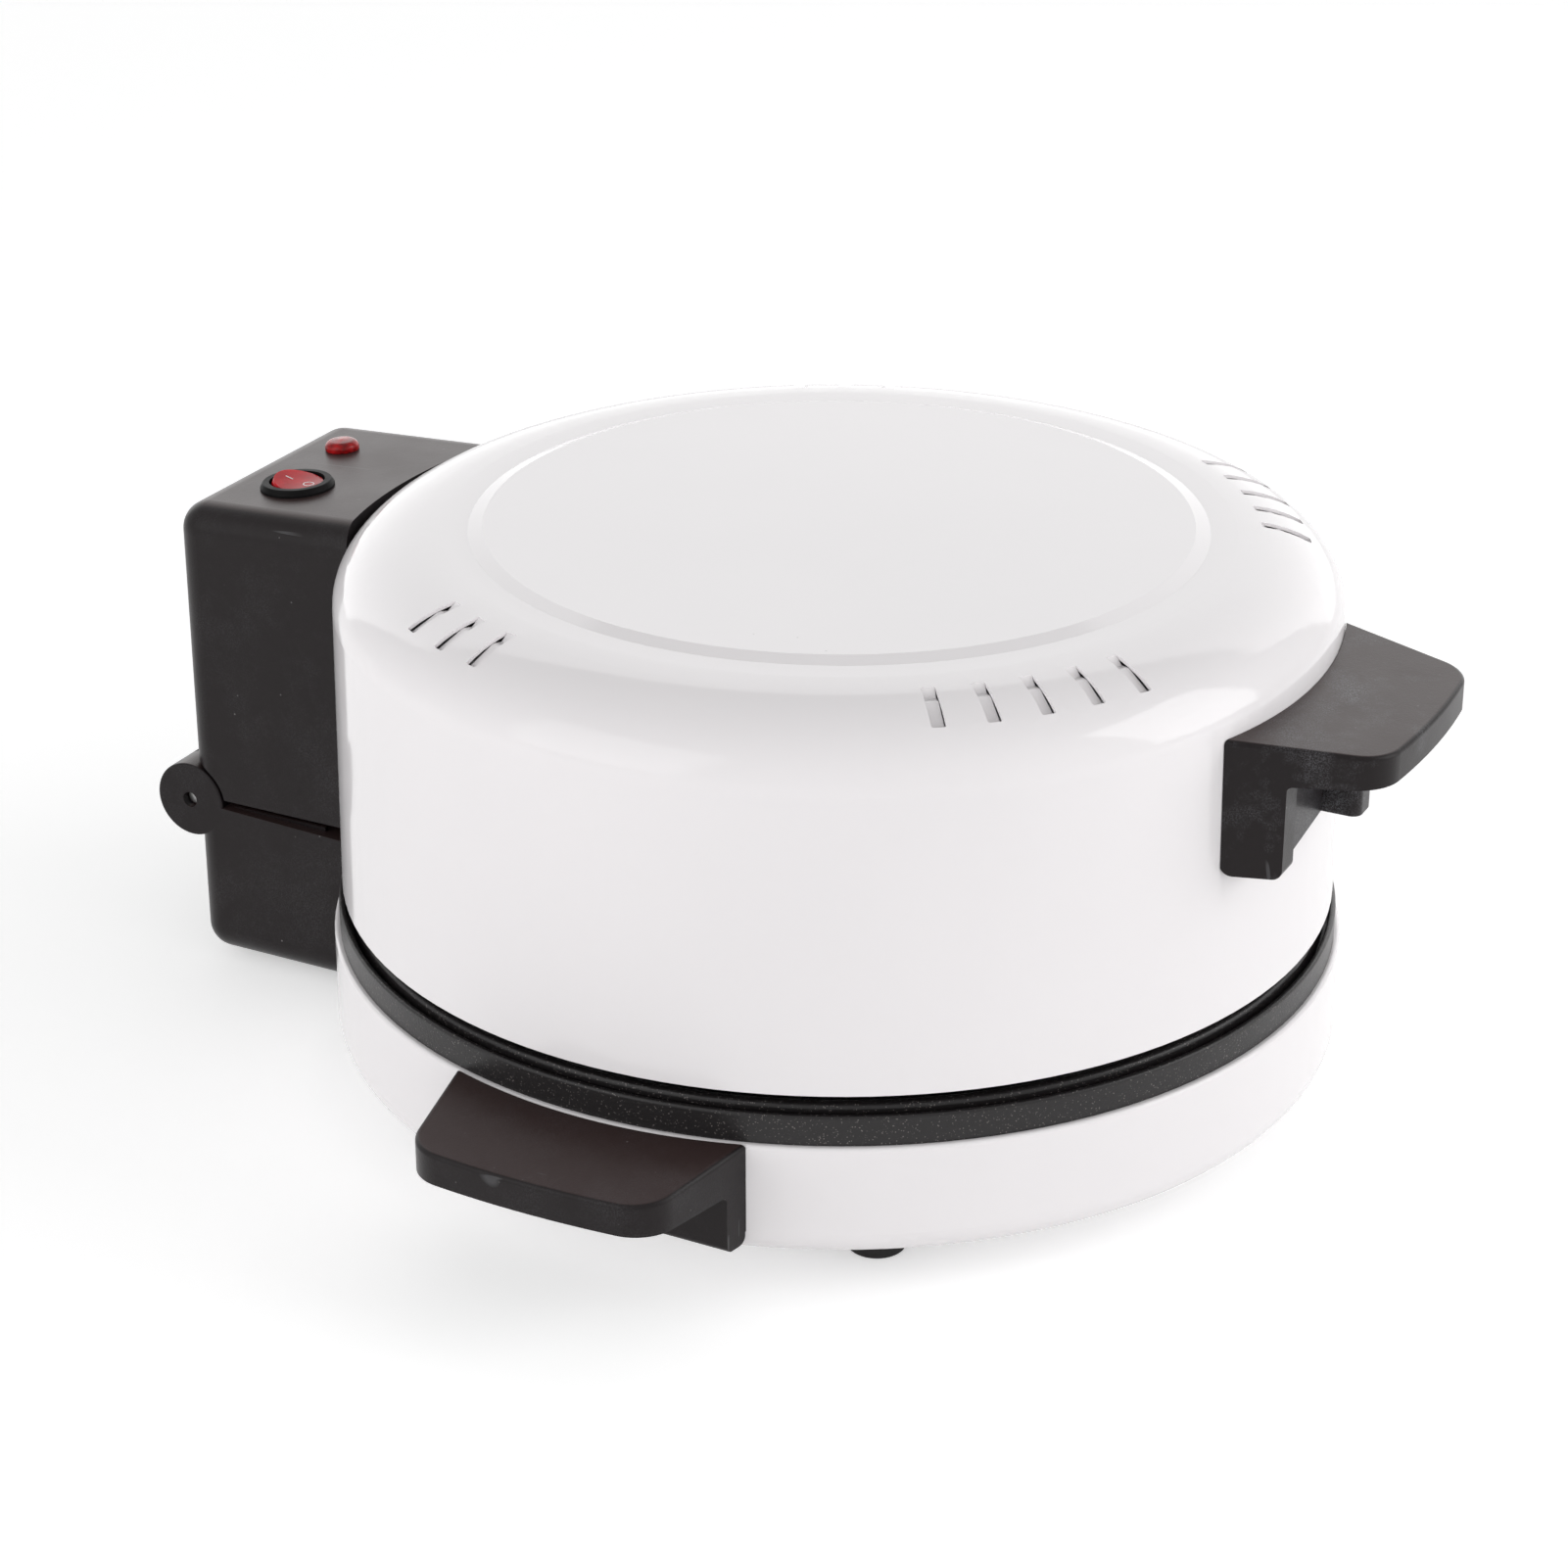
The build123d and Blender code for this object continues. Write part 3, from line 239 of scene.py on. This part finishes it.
def rubbed_patches(made, place):
    """Small pale spots in broad patches, strongest on the lid's handle."""
    along = add(made, "ShaderNodeSeparateXYZ")
    handled = add(made, "ShaderNodeMapRange")
    limits = {"From Min": full_wear_y, "From Max": slight_wear_y,
              "To Min": wear_on_handle, "To Max": wear_elsewhere}
    for socket, value in limits.items():
        handled.inputs[socket].default_value = value
    wire(made, (place, along.inputs[0]), (along.outputs["Y"], handled.inputs["Value"]))
    spots = ramp(made, noise(made, place, scale=2300.0, roughness=0.7), (0.44, 0.0), (0.62, 1.0))
    broad = ramp(made, noise(made, place, scale=38.0, detail=5.0, roughness=0.7), (0.46, 0.0), (0.68, 0.9))
    return times(made, times(made, spots, broad), handled.outputs["Result"])


def hair_scratches(made, place):
    """Thin straight bands in a few places."""
    turned = add(made, "ShaderNodeMapping")
    turned.inputs["Rotation"].default_value = scratch_turn
    turned.inputs["Scale"].default_value = scratch_stretch
    wire(made, (place, turned.inputs["Vector"]))
    bands = noise(made, turned.outputs["Vector"], scale=1.0, detail=1.0)
    hair = ramp(made, bands, (0.735, 0.0), (0.76, 1.0))
    rare = ramp(made, noise(made, place, scale=30.0, detail=2.0), (0.56, 0.0), (0.62, 0.45))
    return times(made, hair, rare)


print("wear of the moulding: on the handle", wear_on_handle, "elsewhere", wear_elsewhere)

# %% [markdown]
# ## Black heat-resistant moulding: colour
# The light skims over the tops of the boxes and handles and lifts them to a warm grey, while upright
# faces stay nearly black. Part of that is gloss, and part is a painted highlight on upward faces,
# which the height of the surface's own normal finds. A few larger grains of dust lie anywhere.

# %% Black moulding
resin_black = (0.012, 0.0088, 0.0094)
resin_dark = (0.0078, 0.0052, 0.0058)
resin_light = (0.0110, 0.0078, 0.0084)
# painted highlight: the warm grey that faces pointing up are lifted to
painted_top_highlight = (0.036, 0.022, 0.021)
loose_dust = (0.24, 0.23, 0.23)
rubbed_grey = (0.125, 0.125, 0.135)
scratch_grey = (0.11, 0.11, 0.115)


def make_moulding():
    """Matt black resin with grain, a painted highlight on upward faces, dust, rubbed patches and scratches.
    """
    made, shader = finish_named("black_moulding", resin_black, 0.38, Specular_IOR_Level=0.22)
    place = object_place(made)
    grain_of_moulding(made, shader, place)
    upward = add(made, "ShaderNodeSeparateXYZ")
    wire(made, (add(made, "ShaderNodeTexCoord").outputs["Normal"], upward.inputs[0]))
    # painted highlight: faces whose normal points up are lightened towards a warm grey
    upward_highlight_mask = ramp(made, upward.outputs["Z"], (0.90, 0.0), (0.985, 1.0))
    bare = ramp(made, noise(made, place, scale=16.0, detail=5.0), (0.3, resin_dark), (0.7, resin_light))
    core = ramp(made, cells(made, place, scale=230.0), (0.0, 1.0), (0.09, 0.0))
    rare = ramp(made, noise(made, place, scale=60.0), (0.55, 0.0), (0.63, 1.0))
    with_top_highlight = mixed(made, upward_highlight_mask, bare, painted_top_highlight)
    worn = mixed(made, rubbed_patches(made, place), with_top_highlight, rubbed_grey)
    dusty = mixed(made, times(made, core, rare), worn, loose_dust)
    scratched = mixed(made, hair_scratches(made, place), dusty, scratch_grey)
    rough = ramp(made, noise(made, place, scale=44.0, detail=5.0), (0.3, 0.30), (0.7, 0.37))
    wire(made, (scratched, shader.inputs["Base Color"]), (rough, shader.inputs["Roughness"]))
    return made


moulding = make_moulding()
print("moulding nodes", len(moulding.node_tree.nodes))

# %% [markdown]
# ## Speckled non-stick coat
# The cast plate is sprayed with a black coat that dries to a fine sandy surface with tiny pale
# specks. Small cells make the specks, broken up by noise so that no grid shows, and each grain of
# the bump catches the light on the rounded lip.

# %% Non-stick coat
coat_black = (0.012, 0.0105, 0.011)
fleck_grey = (0.15, 0.135, 0.13)


def make_coat():
    """Black non-stick coat on cast metal."""
    made, shader = finish_named("nonstick_coat", coat_black, 0.34, Specular_IOR_Level=0.38)
    place = object_place(made)
    fine = noise(made, place, scale=1500.0, detail=3.0, roughness=0.65)
    sand = relief(made, shader, fine, distance=0.00012, strength=0.75)
    waves = noise(made, place, scale=420.0, detail=2.0)
    relief(made, shader, waves, distance=0.00006, strength=0.3, before=sand)
    fleck = ramp(made, cells(made, place, scale=1500.0), (0.0, 1.0), (0.26, 0.8), (0.33, 0.0))
    broken = ramp(made, noise(made, place, scale=1100.0, detail=1.0), (0.53, 0.0), (0.60, 1.0))
    flecked = mixed(made, times(made, fleck, broken), coat_black, fleck_grey)
    wire(made, (flecked, shader.inputs["Base Color"]))
    return made


coat = make_coat()
print("coat nodes", len(coat.node_tree.nodes))

# %% [markdown]
# ## Bright sheet
# The liner and the reflector are aluminised sheet, spun on a former, so faint rings run round their
# axis: the noise reads the distance from the axis and the height instead of X, Y and Z.

# %% Bright sheet
def make_sheet():
    """Aluminised sheet with the rings of metal spinning."""
    made, shader = finish_named("bright_sheet", (0.78, 0.78, 0.77), 0.34, Metallic=0.85)
    apart = add(made, "ShaderNodeSeparateXYZ")
    flat = add(made, "ShaderNodeCombineXYZ")
    length = add(made, "ShaderNodeVectorMath", operation="LENGTH")
    wire(made, (object_place(made), apart.inputs[0]), (apart.outputs["X"], flat.inputs["X"]),
         (apart.outputs["Y"], flat.inputs["Y"]), (flat.outputs[0], length.inputs[0]))
    ring = add(made, "ShaderNodeCombineXYZ")
    wire(made, (length.outputs["Value"], ring.inputs["X"]), (apart.outputs["Z"], ring.inputs["Y"]))
    lines = noise(made, ring.outputs[0], scale=1400.0, detail=2.0, roughness=0.7)
    relief(made, shader, lines, distance=0.00002, strength=0.5)
    wire(made, (ramp(made, lines, (0.3, 0.26), (0.7, 0.42)), shader.inputs["Roughness"]))
    return made


bright = make_sheet()
print("sheet nodes", len(bright.node_tree.nodes))

# %% [markdown]
# ## Plain metals
# Screws are zinc-plated, the thermostats have plain metal cups, and the terminals are brass. Their
# roughness wanders a little. The element's steel sheath has gone dull and brown from heat, so it also
# gets two tints.

# %% Metals
def make_metal(name, colour, rough, scale, metallic=1.0, bump=0.00002, tints=None):
    """A metal whose roughness wanders between two values, and its colour between tints if given."""
    made, shader = finish_named(name, colour, sum(rough) / 2, Metallic=metallic)
    place = object_place(made)
    wander = noise(made, place, scale=scale, detail=4.0)
    wire(made, (ramp(made, wander, (0.3, rough[0]), (0.7, rough[1])), shader.inputs["Roughness"]))
    relief(made, shader, noise(made, place, scale=scale * 7.0), distance=bump, strength=0.4)
    if tints:
        heat = noise(made, place, scale=22.0, detail=5.0, roughness=0.6)
        wire(made, (ramp(made, heat, (0.3, tints[0]), (0.7, tints[1])), shader.inputs["Base Color"]))
    return made


heat_tints = ((0.12, 0.105, 0.095), (0.27, 0.245, 0.23))
sheath = make_metal("element_sheath", (0.20, 0.18, 0.165), (0.38, 0.52), 90.0, 0.8, 0.00003, heat_tints)
zinc = make_metal("plain_steel", (0.56, 0.56, 0.55), (0.24, 0.42), 120.0)
cap = make_metal("thermostat_metal", (0.68, 0.68, 0.66), (0.20, 0.38), 300.0, 0.9)
brass = make_metal("terminal_brass", (0.72, 0.52, 0.22), (0.18, 0.36), 250.0)
print("metals", [metal.name for metal in (bright, sheath, zinc, cap, brass)])

# %% [markdown]
# ## Rubber, sleeve and small mouldings
# The feet and bumpers are matt rubber, the leads wear a woven sleeve, and the switch is moulded in a
# darker black than the boxes, with less gloss. Each has its own grain, shallower where the piece is
# smoother.

# %% Rubber, sleeve and small mouldings
def make_plastic(name, colour, rough, grain, depth, level=0.5):
    """A plain moulding: mottled colour, wandering roughness and a grain of the given scale."""
    made, shader = finish_named(name, colour, sum(rough) / 2, Specular_IOR_Level=level)
    place = object_place(made)
    fine = noise(made, place, scale=grain, detail=3.0, roughness=0.65)
    relief(made, shader, fine, distance=depth, strength=0.55)
    darker = tuple(0.82 * c for c in colour)
    lighter = tuple(1.2 * c for c in colour)
    mottle = noise(made, place, scale=110.0, detail=4.0)
    wire(made, (ramp(made, mottle, (0.3, darker), (0.7, lighter)), shader.inputs["Base Color"]),
         (ramp(made, mottle, (0.3, rough[0]), (0.7, rough[1])), shader.inputs["Roughness"]))
    return made


rubber = make_plastic("black_rubber", (0.014, 0.013, 0.013), (0.66, 0.78), 1300.0, 0.00008, 0.3)
sleeve = make_plastic("lead_sleeve", (0.72, 0.70, 0.66), (0.45, 0.55), 2200.0, 0.00004)
dull_black = make_plastic("switch_black", (0.007, 0.0068, 0.007), (0.36, 0.46), 1900.0, 0.00002, 0.05)
holder = make_plastic("lamp_holder", (0.62, 0.61, 0.58), (0.30, 0.40), 1200.0, 0.00002)
block = make_plastic("block_moulding", (0.66, 0.65, 0.60), (0.50, 0.60), 1500.0, 0.00004)
print("mouldings", [piece.name for piece in (rubber, sleeve, dull_black, holder, block)])

# %% [markdown]
# ## Red plastic
# The rocker and the lamp's lens are tinted plastic. Their tops mirror the pale studio and look
# pinkish, and their sides glow a deep red. A little light scattering inside gives the glow. A thin
# clear coat gives the lens its sharper highlights. On the lens, darker patches in the colour are
# painted shade that stands for the facets inside it; on the rocker they are a plain mottle.

# %% Red plastics
glow_reach = 0.003
glow_spread = (1.0, 0.05, 0.04)


def make_red(name, dark, light, scale, scatter, level, coat_weight):
    """Tinted plastic that glows at its edges, with darker patches in its colour: painted facet shade on the
    lens, a mottle on the rocker.
    """
    made, shader = finish_named(name, light, 0.16, Subsurface_Weight=scatter, Subsurface_Scale=glow_reach,
                                Specular_IOR_Level=level, Coat_Weight=coat_weight, Coat_Roughness=0.04)
    shader.inputs["Subsurface Radius"].default_value = glow_spread
    place = object_place(made)
    relief(made, shader, noise(made, place, scale=420.0, detail=2.0), distance=0.00003, strength=0.4)
    # on the lens these darker patches are painted shade for its inner facets; on the rocker, a mottle
    patches = ramp(made, noise(made, place, scale=scale), (0.35, dark), (0.65, light))
    wire(made, (patches, shader.inputs["Base Color"]))
    return made


red = make_red("rocker_red", (0.42, 0.004, 0.010), (0.56, 0.010, 0.018), 150.0, 0.35, 0.10, 0.0)
lens = make_red("lens_red", (0.16, 0.002, 0.003), (0.46, 0.006, 0.008), 330.0, 0.30, 0.18, 0.12)
print("red finishes", red.name, lens.name)

# %% [markdown]
# ## Finish the construction model
# Every node of the construction model keeps its mesh and gets the finish that its record names.

# %% Give every construction node its finish
finishes = {"white_enamel": enamel, "black_moulding": moulding, "nonstick_coat": coat, "bright_sheet": bright,
            "element_sheath": sheath, "plain_steel": zinc, "thermostat_metal": cap, "terminal_brass": brass,
            "black_rubber": rubber, "lead_sleeve": sleeve, "switch_black": dull_black, "lamp_holder": holder,
            "block_moulding": block, "rocker_red": red, "lens_red": lens}
for part in frame["record"]["subparts"]:
    nodes[part["node"]].data.materials.clear()
    nodes[part["node"]].data.materials.append(finishes[part["material_slot"]])
print("finishes", len(finishes))

# %% [markdown]
# ## Lay marks on the rocker
# The rocker carries a moulded white bar on its raised half and a white ring on its pressed half.
# Both are thin inlays, so they are shaped flat, then laid on the rocker by dropping each point onto
# the rocker's own surface. They ride with the rocker, so they tilt with it.

# %% Helpers for the rocker's marks
drop_height = 0.03
mark_lift = 0.00003
mark_thickness = 0.0001


def lay_down(mesh, target):
    """Lay every vertex of a flat shape on a surface below it, raised by a hair."""
    for vertex in mesh.verts:
        start = vertex.co + Vector((0.0, 0.0, drop_height))
        found, spot, normal = target.ray_cast(start, Vector((0.0, 0.0, -1.0)))[:3]
        if found:
            vertex.co = spot + mark_lift * normal


def inlay(name, mesh, finish):
    """Lay a flat shape on the rocker and give it a little thickness."""
    lay_down(mesh, nodes["switch_rocker"])
    data = bpy.data.meshes.new(name)
    mesh.to_mesh(data)
    mesh.free()
    piece = bpy.data.objects.new(name, data)
    scene.collection.objects.link(piece)
    data.materials.append(finish)
    thick = piece.modifiers.new("thickness", "SOLIDIFY")
    thick.thickness = mark_thickness
    thick.offset = 1.0
    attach(piece, "rocker")


low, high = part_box("switch_rocker")
rocker_middle = (Vector(low) + Vector(high)) / 2
mark_white = make_plastic("mark_white", (0.80, 0.76, 0.76), (0.30, 0.40), 1800.0, 0.00001)
print("rocker's middle", [round(v, 4) for v in rocker_middle])

# %% [markdown]
# ## The bar and the ring
# The bar is a narrow grid, fine enough along its length to follow the rocker's hollow. The ring is a
# circle whose edges are extruded once and scaled outwards to the ring's width.

# %% Rocker marks
bar_reach, ring_reach = 0.0030, 0.0041
bar_length, bar_width = 0.0025, 0.00038
ring_radius, ring_width = 0.0016, 0.00032

bar = bmesh.new()
bmesh.ops.create_grid(bar, x_segments=2, y_segments=8, size=0.5)
bmesh.ops.scale(bar, verts=bar.verts, vec=(bar_width, bar_length, 1.0))
bmesh.ops.translate(bar, verts=bar.verts, vec=rocker_middle + Vector((0.0, bar_reach, 0.0)))
inlay("rocker_bar_mark", bar, mark_white)

ring = bmesh.new()
ring_inside, ring_outside = ring_radius - ring_width / 2, ring_radius + ring_width / 2
bmesh.ops.create_circle(ring, segments=40, radius=ring_inside)
rim_edges = bmesh.ops.extrude_edge_only(ring, edges=ring.edges[:])["geom"]
rim = [part for part in rim_edges if isinstance(part, bmesh.types.BMVert)]
bmesh.ops.scale(ring, verts=rim, vec=Vector((1.0, 1.0, 1.0)) * ring_outside / ring_inside)
bmesh.ops.recalc_face_normals(ring, faces=ring.faces[:])
bmesh.ops.translate(ring, verts=ring.verts, vec=rocker_middle + Vector((0.0, -ring_reach, 0.0)))
inlay("rocker_ring_mark", ring, mark_white)
print("bar", bar_length, "by", bar_width, "ring radius", ring_radius)

# %% [markdown]
# ## The studio's white surroundings
# The photograph is a catalogue picture on a white sweep, with light from all sides. The world gives
# the even light, brightest near the horizon, so that the lid's top comes out no brighter than its
# wall. Rays from the camera, and those that gloss sends out, see plain white instead, and the Light
# Path node tells them apart.

# %% World
horizon_glow = 1.61
zenith_share = 0.17


def backdrop_rays(made):
    """1 for the rays that see the white backdrop: from the camera, and through gloss and glass."""
    path = add(made, "ShaderNodeLightPath")
    largest = path.outputs["Is Camera Ray"]
    for kind in ("Is Glossy Ray", "Is Transmission Ray"):
        node = add(made, "ShaderNodeMath", operation="MAXIMUM")
        wire(made, (largest, node.inputs[0]), (path.outputs[kind], node.inputs[1]))
        largest = node.outputs[0]
    return largest


world = bpy.data.worlds.new("studio")
scene.world = world
world.use_nodes = True
world.node_tree.nodes.clear()
sky = add(world, "ShaderNodeSeparateXYZ")
dim = add(world, "ShaderNodeBackground", Strength=horizon_glow)
white = add(world, "ShaderNodeBackground", Strength=1.0)
choose = add(world, "ShaderNodeMixShader")
out = add(world, "ShaderNodeOutputWorld")
wire(world, (add(world, "ShaderNodeTexCoord").outputs["Generated"], sky.inputs[0]))
wire(world, (ramp(world, sky.outputs["Z"], (0.3, 1.0), (0.6, zenith_share)), dim.inputs["Color"]))
wire(world, (backdrop_rays(world), choose.inputs[0]), (dim.outputs[0], choose.inputs[1]),
     (white.outputs[0], choose.inputs[2]), (choose.outputs[0], out.inputs[0]))
print("world: horizon", horizon_glow, "zenith", horizon_glow * zenith_share)

# %% [markdown]
# ## The floor
# A white paper floor carries the product's soft shadow. For the same rays it glows a little on top of
# the light that falls on it, so it stays white in the picture and in reflections and keeps the shadow.

# %% Floor
floor_reach = 6.0
floor_glow = 0.40
paper_white = (0.93, 0.93, 0.93)

floor_mesh = bmesh.new()
bmesh.ops.create_grid(floor_mesh, x_segments=1, y_segments=1, size=floor_reach)
floor_data = bpy.data.meshes.new("floor")
floor_mesh.to_mesh(floor_data)
floor_mesh.free()
floor = bpy.data.objects.new("floor", floor_data)
scene.collection.objects.link(floor)
paper, shader = finish_named("floor_paper", paper_white, 0.9, Specular_IOR_Level=0.1)
shader.inputs["Emission Color"].default_value = (1.0, 1.0, 1.0, 1.0)
glowing = add(paper, "ShaderNodeMath", operation="MULTIPLY")
glowing.inputs[1].default_value = floor_glow
wire(paper, (backdrop_rays(paper), glowing.inputs[0]),
     (glowing.outputs[0], shader.inputs["Emission Strength"]))
floor.data.materials.append(paper)
print("floor", 2 * floor_reach, "m across, glow", floor_glow)

# %% [markdown]
# ## Softboxes
# A stronger panel stands on the right and a weaker one on the left, and both show as soft patches on
# the lid's shoulder. A wide panel behind the product is seen by gloss alone: it lifts the tops of the
# black mouldings without lighting the enamel. A panel's watts follow from its glow and its area.

# %% Softboxes
aim = Vector((0.0, -0.02, 0.12))
panels = {
    "panel_left": {"turn": 155.0, "lift": 26.0, "distance": 1.5, "size": (1.1, 1.2), "glow": 0.95},
    "panel_right": {"turn": -70.0, "lift": 25.0, "distance": 1.6, "size": (0.9, 1.2), "glow": 2.2},
    "panel_back": {"turn": 27.0, "lift": 20.0, "distance": 2.2, "size": (4.6, 2.4), "glow": 1.05},
}


def softbox(name, turn, lift, distance, size, glow):
    """A rectangular lamp that faces the product; turn is from +X and lift from level, in degrees."""
    turn, lift = math.radians(turn), math.radians(lift)
    away = Vector((math.cos(turn) * math.cos(lift), math.sin(turn) * math.cos(lift), math.sin(lift)))
    data = bpy.data.lights.new(name, "AREA")
    data.shape = "RECTANGLE"
    data.size, data.size_y = size
    data.energy = glow * size[0] * size[1] * math.pi
    lamp = bpy.data.objects.new(name, data)
    scene.collection.objects.link(lamp)
    lamp.location = aim + distance * away
    lamp.rotation_euler = (-away).to_track_quat("-Z", "Y").to_euler()
    lamp.visible_camera = False
    return lamp


for name, values in panels.items():
    lamp = softbox(name, **values)
    lamp.visible_diffuse = name != "panel_back"
